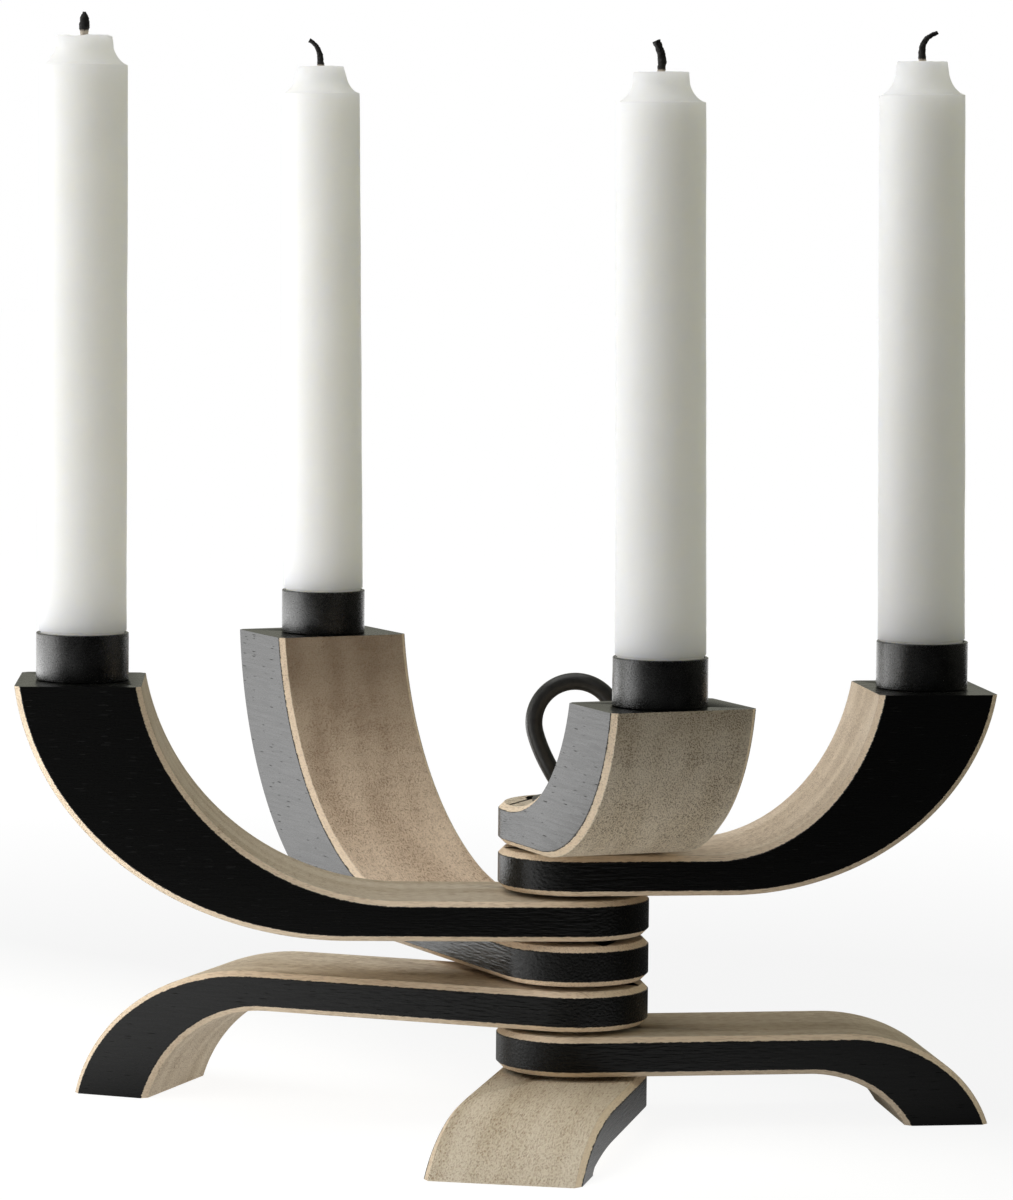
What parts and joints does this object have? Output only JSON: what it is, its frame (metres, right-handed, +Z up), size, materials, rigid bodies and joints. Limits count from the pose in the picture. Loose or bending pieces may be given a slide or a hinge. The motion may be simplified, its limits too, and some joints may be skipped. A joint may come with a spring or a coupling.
{
  "type": "folding candelabra",
  "caption": "Folding wooden candelabra: curved bars on one ring bolt, the upper ones carrying candles in steel cups, the lower ones standing as legs.",
  "frame": {"origin": "centre of the floor under the whole object, in the pose of the picture", "axes": "+Z up along the pivot bolt, +X to the right and +Y away from the viewer in the picture"},
  "size_m": [0.2442, 0.2536, 0.2753],
  "materials": {
    "wood": "sawn natural wood on the curved faces, black semi-gloss paint on the sides and ends",
    "cup_steel": "blackened steel, mottled grey, semi-gloss",
    "ring_steel": "blackened steel, satin",
    "zinc": "zinc-plated steel",
    "wax": "white candle wax, satin",
    "wick": "burnt cotton, matt"
  },
  "bodies": {
    "spindle": {"ring_bolt": "ring_steel", "ring_washer": "ring_steel", "spacer_washer_1": "zinc", "spacer_washer_2": "zinc", "spacer_washer_3": "zinc", "spacer_washer_4": "zinc", "spacer_washer_5": "zinc", "spacer_washer_6": "zinc", "nut_washer": "zinc", "lock_nut": "zinc"},
    "arm_front": {"arm_front": "wood", "cup_front": "cup_steel", "cup_screw_front": "zinc"},
    "candle_front": {"candle_front": "wax", "wick_front": "wick"},
    "arm_right": {"arm_right": "wood", "cup_right": "cup_steel", "cup_screw_right": "zinc"},
    "candle_right": {"candle_right": "wax", "wick_right": "wick"},
    "arm_left": {"arm_left": "wood", "cup_left": "cup_steel", "cup_screw_left": "zinc"},
    "candle_left": {"candle_left": "wax", "wick_left": "wick"},
    "arm_rear": {"arm_rear": "wood", "cup_rear": "cup_steel", "cup_screw_rear": "zinc"},
    "candle_rear": {"candle_rear": "wax", "wick_rear": "wick"},
    "leg_left": {"leg_left": "wood"},
    "leg_right": {"leg_right": "wood"},
    "leg_front": {"leg_front": "wood"}
  },
  "joints": [
    {"name": "arm_front_swing", "type": "hinge", "parent": "spindle", "child": "arm_front", "pos_m": [0.01724, -0.03711, 0], "axis": [0, 0, 1], "continuous": true},
    {"name": "candle_front_lift", "type": "slide", "parent": "arm_front", "child": "candle_front", "axis": [0, 0, 1], "range_m": [0, 0.03]},
    {"name": "arm_right_swing", "type": "hinge", "parent": "spindle", "child": "arm_right", "pos_m": [0.01724, -0.03711, 0], "axis": [0, 0, 1], "continuous": true},
    {"name": "candle_right_lift", "type": "slide", "parent": "arm_right", "child": "candle_right", "axis": [0, 0, 1], "range_m": [0, 0.03]},
    {"name": "arm_left_swing", "type": "hinge", "parent": "spindle", "child": "arm_left", "pos_m": [0.01724, -0.03711, 0], "axis": [0, 0, 1], "continuous": true},
    {"name": "candle_left_lift", "type": "slide", "parent": "arm_left", "child": "candle_left", "axis": [0, 0, 1], "range_m": [0, 0.03]},
    {"name": "arm_rear_swing", "type": "hinge", "parent": "spindle", "child": "arm_rear", "pos_m": [0.01724, -0.03711, 0], "axis": [0, 0, 1], "continuous": true},
    {"name": "candle_rear_lift", "type": "slide", "parent": "arm_rear", "child": "candle_rear", "axis": [0, 0, 1], "range_m": [0, 0.03]},
    {"name": "leg_left_swing", "type": "hinge", "parent": "spindle", "child": "leg_left", "pos_m": [0.01724, -0.03711, 0], "axis": [0, 0, 1], "continuous": true},
    {"name": "leg_right_swing", "type": "hinge", "parent": "spindle", "child": "leg_right", "pos_m": [0.01724, -0.03711, 0], "axis": [0, 0, 1], "range_deg": [-79.5, 220.5]},
    {"name": "leg_front_swing", "type": "hinge", "parent": "spindle", "child": "leg_front", "pos_m": [0.01724, -0.03711, 0], "axis": [0, 0, 1], "range_deg": [-220.5, 79.5]}
  ]
}
